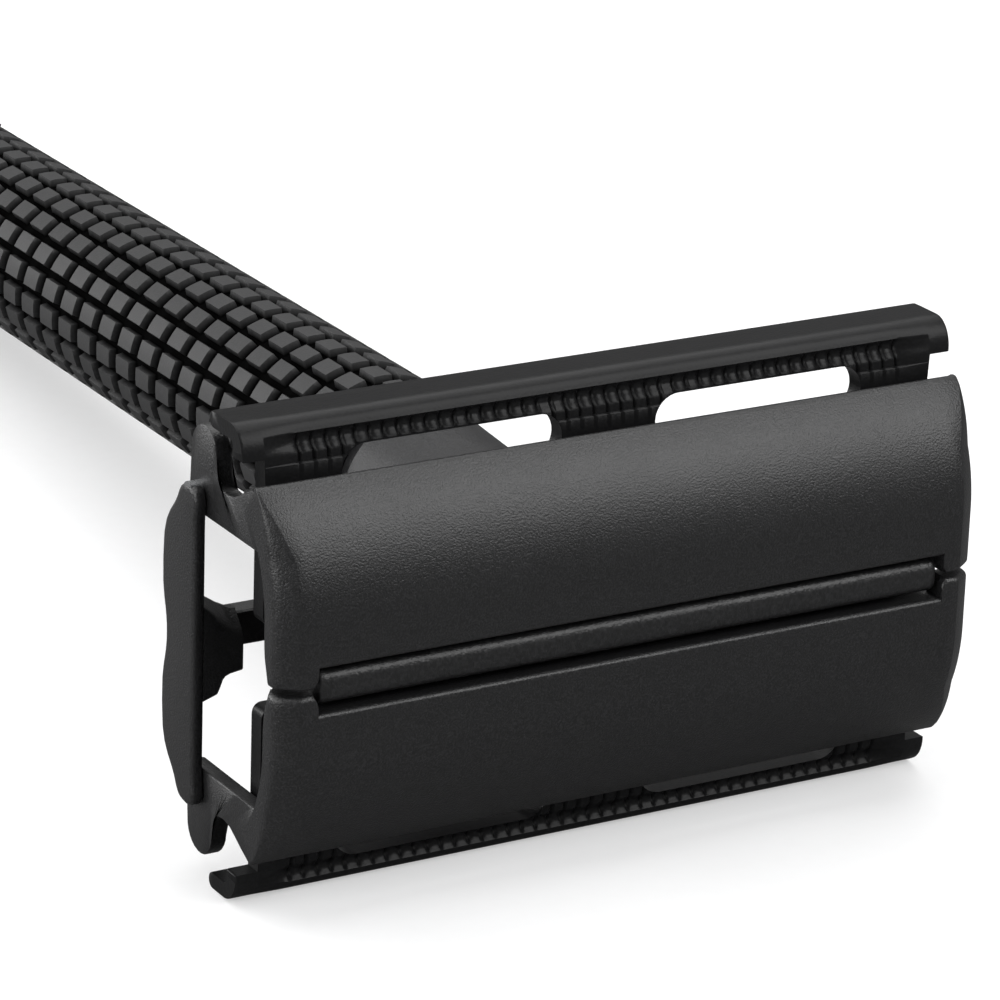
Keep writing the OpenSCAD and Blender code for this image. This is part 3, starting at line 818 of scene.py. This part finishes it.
def finish(name):
    """The named finish, made the first time it is asked for."""
    made = bpy.data.materials.get(name)
    if made:
        return made
    looks = bpy.context.scene.razor_finish
    black, grip = tuple(looks.head_black), tuple(looks.grip_black)
    steel, sheen = tuple(looks.steel), looks.sheen
    pads = (grip, 1.5, looks.grip_roughness, 0.14, 7000, 0.012, sheen)
    # Colour, speck, roughness, its spread, grain scale, bump, specular
    blacks = {
        "satin_black": (black, 2.4, looks.head_roughness, 0.16, 9500, 0.032, sheen),
        "smooth_black": (black, 1.4, looks.rail_roughness, 0.18, 6000, 0.010, 0.3 * sheen),
        "coarse_black": (black, 2.0, looks.bar_roughness, 0.2, 5200, 0.035, sheen),
        "neck_black": (tuple(looks.neck_black), 2.0, looks.neck_roughness, 0.1, 7500, 0.022,
                       0.7 * sheen),
        "grip_black": pads,
        "knob_black": pads,
        "ring_rubber": ((0.012, 0.012, 0.012), 1.3, 0.7, 0.1, 6000, 0.01, 0.3),
    }
    # Colour, roughness, axis of the turning marks
    metals = {
        "turned_steel": (steel, 0.28, AXIS_Z),
        "pin_steel": (steel, 0.28, AXIS_X),
        "turned_brass": (tuple(looks.brass), 0.3, AXIS_Z),
    }
    if name in blacks:
        made = grained(name, *blacks[name])
        # Only the grip gets painted shade in its cuts; the knob keeps its plain grain
        return paint_shade_in_cuts(made, CUT_SHADE_R, SHADE_END_R, sheen) if name == "grip_black" else made
    if name in metals:
        return turned(name, *metals[name])
    raise ValueError(f"no finish is named {name}")


# ---------------------------------------------------------------- settings


def length(name, millimetres, words):
    """A length property with its default in millimetres."""
    return bpy.props.FloatProperty(name=name, description=words, default=millimetres * MM,
                                   min=0.0, precision=5, unit="LENGTH")


def share(name, value, words):
    """A property between 0 and 1."""
    return bpy.props.FloatProperty(name=name, description=words, default=value,
                                   min=0.0, max=1.0, subtype="FACTOR")


def colour(name, value, words):
    """A colour property in linear light."""
    return bpy.props.FloatVectorProperty(name=name, description=words, default=value,
                                         size=3, min=0.0, max=1.0, subtype="COLOR")


class RazorShape(bpy.types.PropertyGroup):
    """Sizes of the fine shapes that the CAD solids leave plain"""

    tooth_pitch: length("Cut pitch", 0.84, "Spacing of the fine cuts along the guard")
    tooth_depth: length("Cut depth", 0.2, "Depth of the fine cuts")
    bar_round: length("Bar edge radius", 0.7, "Rounding of the centre bar's top")
    pad_pitch: length("Ring pitch", 2.72, "Spacing of the rings of pads along the grip")
    pad_height: length("Pad height", 0.55, "How far a pad stands out of the cuts")
    pad_slope: length("Pad slope", 0.13, "Width of the slope round a pad")
    pad_share: share("Pad length share", 0.63, "Flat part of the pitch along the grip")
    pad_share_round: share("Pad width share", 0.65, "Flat part of the pitch round the grip")


class RazorFinish(bpy.types.PropertyGroup):
    """Colours and roughness of the finishes"""

    head_black: colour("Head", (0.006, 0.006, 0.0063), "Satin black of the head")
    neck_black: colour("Neck", (0.010, 0.010, 0.0105), "Matte black of the neck")
    grip_black: colour("Grip", (0.013, 0.013, 0.0135), "Matte black of the grip and knob")
    steel: colour("Steel", (0.56, 0.57, 0.58), "Bare steel of the pins, screws and rod")
    brass: colour("Brass", (0.62, 0.44, 0.19), "Brass of the guide, nut and sleeve")
    head_roughness: share("Head roughness", 0.36, "Roughness of the doors and yoke")
    rail_roughness: share("Guard roughness", 0.33, "Roughness of the guard plate")
    bar_roughness: share("Bar roughness", 0.4, "Roughness of the centre bar")
    neck_roughness: share("Neck roughness", 0.5, "Roughness of the neck")
    grip_roughness: share("Grip roughness", 0.6, "Roughness of the grip")
    sheen: share("Sheen", 0.5, "Strength of the black finish's reflection")


class RazorStage(bpy.types.PropertyGroup):
    """Camera, floor and lights"""

    lens: bpy.props.FloatProperty(name="Lens", description="Focal length of the camera",
                                  default=178.35, unit="CAMERA")
    floor_colour: colour("Floor", (0.93, 0.93, 0.935), "Pale floor")
    shadow_share: share("Shadow", 0.56, "Share of the floor's shadows that the camera sees")
    top_power: bpy.props.FloatProperty(name="Top light", default=8.0, unit="POWER",
                                       description="Power of the soft light overhead")
    front_power: bpy.props.FloatProperty(name="Front light", default=3.4, unit="POWER",
                                         description="Power of the soft light over the crown")
    back_power: bpy.props.FloatProperty(name="Back light", default=3.2, unit="POWER",
                                        description="Power of the soft light behind the head")
    side_power: bpy.props.FloatProperty(name="Side light", default=2.6, unit="POWER",
                                        description="Power of the soft light at the left")
    sky: bpy.props.FloatProperty(name="Sky", default=0.2, min=0.0,
                                 description="Strength of the even light all round")


# ---------------------------------------------------------------- pieces


class RAZOR_OT_guard(bpy.types.Operator):
    """Guard plate with rinse windows, turned-down rails and fine cuts"""

    bl_idname = "razor.guard"
    bl_label = "Guard plate"

    def execute(self, context):
        sizes = context.scene.razor_shape
        skins = [guard_rail(1, sizes), guard_rail(-1, sizes), plate_half(1), plate_half(-1)]
        piece("guard_plate_rails", skins, "handle", finish("smooth_black"),
              ["guard_plate"], 50)
        return {"FINISHED"}


class RAZOR_OT_doors(bpy.types.Operator):
    """The two hinged doors, with soft edges"""

    bl_idname = "razor.doors"
    bl_label = "Doors"

    def execute(self, context):
        for side, node in ((1, "upper_door"), (-1, "lower_door")):
            skins = [door_shell(side), flat_leg(side, 1), flat_leg(side, -1)]
            piece(node + "_shell", skins, node, finish("satin_black"), [node], 40)
        return {"FINISHED"}


class RAZOR_OT_bar(bpy.types.Operator):
    """Centre bar between the doors, with a round coarse top"""

    bl_idname = "razor.bar"
    bl_label = "Centre bar"

    def execute(self, context):
        piece("centre_bar_round", [bar_skin(context.scene.razor_shape)], "handle",
              finish("coarse_black"), ["centre_bar"], 50)
        return {"FINISHED"}


class RAZOR_OT_yoke(bpy.types.Operator):
    """Lifting yoke with soft edges"""

    bl_idname = "razor.yoke"
    bl_label = "Lifting yoke"

    def execute(self, context):
        reach = 20.2
        spine = block(-15.5, 15.5, -1.85, 1.85, -13.0, -11.5)
        narrow_spine = block(-reach, reach, -1.8, 0.2, -12.9, -11.6)
        skins = [spine, narrow_spine]
        for end in (1, -1):
            x0, x1 = sorted((19.5 * end, reach * end))
            riser = block(x0, x1, -1.79, 0.19, -12.85, -8.6)
            skins += [end_plate(end), yoke_stem(end), riser]
        piece("yoke_casting", skins, "lift", finish("satin_black"), ["yoke"], 40)
        return {"FINISHED"}


class RAZOR_OT_neck(bpy.types.Operator):
    """Neck between the head and the grip"""

    bl_idname = "razor.neck"
    bl_label = "Neck"

    def execute(self, context):
        copied_solid("neck_collar", "neck_turned", "handle", finish("neck_black"),
                     0.12)
        return {"FINISHED"}


class RAZOR_OT_grip(bpy.types.Operator):
    """Grip tube with its rings of pads"""

    bl_idname = "razor.grip"
    bl_label = "Grip"

    def execute(self, context):
        sizes = context.scene.razor_shape
        tube = padded_tube(GRIP_R, sizes.pad_height / MM, GRIP_LOW, GRIP_TOP, GRIP_RING_MID,
                           sizes.pad_pitch / MM, GRIP_PADS, GRIP_FIRST_PAD, GRIP_BORE, sizes)
        piece("grip_pads", [tube], "handle", finish("grip_black"),
              ["grip_tube"], 50)
        return {"FINISHED"}


class RAZOR_OT_knob(bpy.types.Operator):
    """Twist knob with pads, and the cap in its end"""

    bl_idname = "razor.knob"
    bl_label = "Knob"

    def execute(self, context):
        sizes = context.scene.razor_shape
        shell = padded_tube(KNOB_R, 0.8 * sizes.pad_height / MM, BUTT, KNOB_TOP,
                            -KNOB_JOINT_DEPTH, KNOB_PITCH, KNOB_PADS, 0.0, KNOB_BORE,
                            sizes, 0.5)
        piece("knob_pads", [shell], "knob", finish("knob_black"),
              ["knob_shell"], 50)
        cap = lathe([[0, CAP_TOP], [CAP_R, CAP_TOP], [CAP_R, BUTT + 0.18], [4.1, BUTT + 0.05],
                     [3.95, BUTT], [3.2, BUTT], [3.1, BUTT + 0.06], [3.0, BUTT + 0.06],
                     [2.9, BUTT], [0, BUTT]], False)
        piece("knob_cap_disc", [cap], "knob", finish("knob_black"),
              ["knob_cap"], 50)
        return {"FINISHED"}


class RAZOR_OT_metal(bpy.types.Operator):
    """Finishes of the pins, screws, rod, guide, nut, sleeve, washer and friction ring"""

    bl_idname = "razor.metal"
    bl_label = "Pins, screws and sleeve"

    def execute(self, context):
        groups = {
            "turned_steel": ["bar_rivets", "plate_screws", "lift_rod", "rod_screw"],
            "pin_steel": ["hinge_pins", "knob_pin"],
            "turned_brass": ["rod_guide", "ring_nut", "knob_sleeve", "thrust_washer"],
            "ring_rubber": ["friction_ring"],
        }
        for name, nodes in groups.items():
            for node in nodes:
                mesh = frame["nodes"][node].data
                mesh.materials.clear()
                mesh.materials.append(finish(name))
        return {"FINISHED"}


# ---------------------------------------------------------------- stage


def add_light(name, place, target, size, power):
    """A square soft light at a place, turned to a target."""
    data = bpy.data.lights.new(name, "AREA")
    data.shape = "RECTANGLE"
    data.size, data.size_y = size
    data.energy = power
    obj = bpy.data.objects.new(name, data)
    obj.location = place
    obj.rotation_euler = (Vector(target) - Vector(place)).to_track_quat("-Z", "Y").to_euler()
    bpy.context.scene.collection.objects.link(obj)
    return obj


class RAZOR_OT_stage(bpy.types.Operator):
    """Pale floor, soft light and the camera"""

    bl_idname = "razor.stage"
    bl_label = "Stage"

    def execute(self, context):
        scene = context.scene
        look = scene.razor_stage
        right, down, ahead = (way @ AXES for way in (CAMERA_RIGHT, CAMERA_DOWN, CAMERA_AHEAD))
        turn = Matrix([(right[k], -down[k], -ahead[k]) for k in range(3)]).to_4x4()
        data = bpy.data.cameras.new("camera")
        data.lens = look.lens
        data.sensor_width = 36.0
        data.clip_start, data.clip_end = 0.01, 20.0
        camera = bpy.data.objects.new("camera", data)
        camera.matrix_world = Matrix.Translation(Vector(lay(CAMERA_PLACE))) @ turn
        scene.collection.objects.link(camera)
        scene.camera = camera

        half = 3.0
        floor = bpy.data.meshes.new("floor")
        floor.from_pydata([(-half, -half, 0), (half, -half, 0), (half, half, 0),
                           (-half, half, 0)], [], [(0, 1, 2, 3)])
        ground = bpy.data.objects.new("floor", floor)
        scene.collection.objects.link(ground)
        floor.materials.append(shadowless(
            grained("pale_floor", tuple(look.floor_colour), 0.985, 0.55, 0.1, 900, 0.01, 0.2),
            look.shadow_share))

        world = bpy.data.worlds.new("studio")
        scene.world = world
        world.use_nodes = True
        back = world.node_tree.nodes["Background"]
        back.inputs["Color"].default_value = (1, 1, 1, 1)
        back.inputs["Strength"].default_value = look.sky
        scene.view_settings.view_transform = "Standard"
        add_light("top_light", (0.0, 0.25, 0.7), (0, 0, 0), (1.2, 0.9), look.top_power)
        add_light("front_light", lay([336, 450, 418]), (0, 0, 0.01), (0.55, 0.45),
                  look.front_power)
        behind = add_light("back_light", lay([-450, 130, -500]), (0, 0, 0.01), (0.5, 0.4),
                           look.back_power)
        behind.visible_camera = False
        add_light("side_light", (-0.6, -0.1, 0.25), (0, 0, 0.01), (0.5, 0.4), look.side_power)
        return {"FINISHED"}


# ---------------------------------------------------------------- panel


STEPS = ["guard", "doors", "bar", "yoke", "neck", "grip", "knob", "metal", "stage"]


class RAZOR_PT_panel(bpy.types.Panel):
    """Lists the razor's settings and pieces"""

    bl_idname = "RAZOR_PT_panel"
    bl_label = "Safety razor"
    bl_space_type = "VIEW_3D"
    bl_region_type = "UI"
    bl_category = "Razor"

    def draw(self, context):
        for group in (context.scene.razor_shape, context.scene.razor_finish,
                      context.scene.razor_stage):
            box = self.layout.box()
            for key in group.__annotations__:
                box.prop(group, key)
        for step in STEPS:
            self.layout.operator("razor." + step)


CLASSES = [RazorShape, RazorFinish, RazorStage, RAZOR_OT_guard, RAZOR_OT_doors, RAZOR_OT_bar,
           RAZOR_OT_yoke, RAZOR_OT_neck, RAZOR_OT_grip, RAZOR_OT_knob, RAZOR_OT_metal,
           RAZOR_OT_stage, RAZOR_PT_panel]


def register():
    """Registers the classes and the scene's settings."""
    for cls in CLASSES:
        bpy.utils.register_class(cls)
    bpy.types.Scene.razor_shape = bpy.props.PointerProperty(type=RazorShape)
    bpy.types.Scene.razor_finish = bpy.props.PointerProperty(type=RazorFinish)
    bpy.types.Scene.razor_stage = bpy.props.PointerProperty(type=RazorStage)


def unregister():
    """Removes the settings and the classes."""
    del bpy.types.Scene.razor_shape
    del bpy.types.Scene.razor_finish
    del bpy.types.Scene.razor_stage
    for cls in reversed(CLASSES):
        bpy.utils.unregister_class(cls)


def main():
    register()
    for step in STEPS:
        getattr(bpy.ops.razor, step)()


if __name__ == "__main__":
    main()
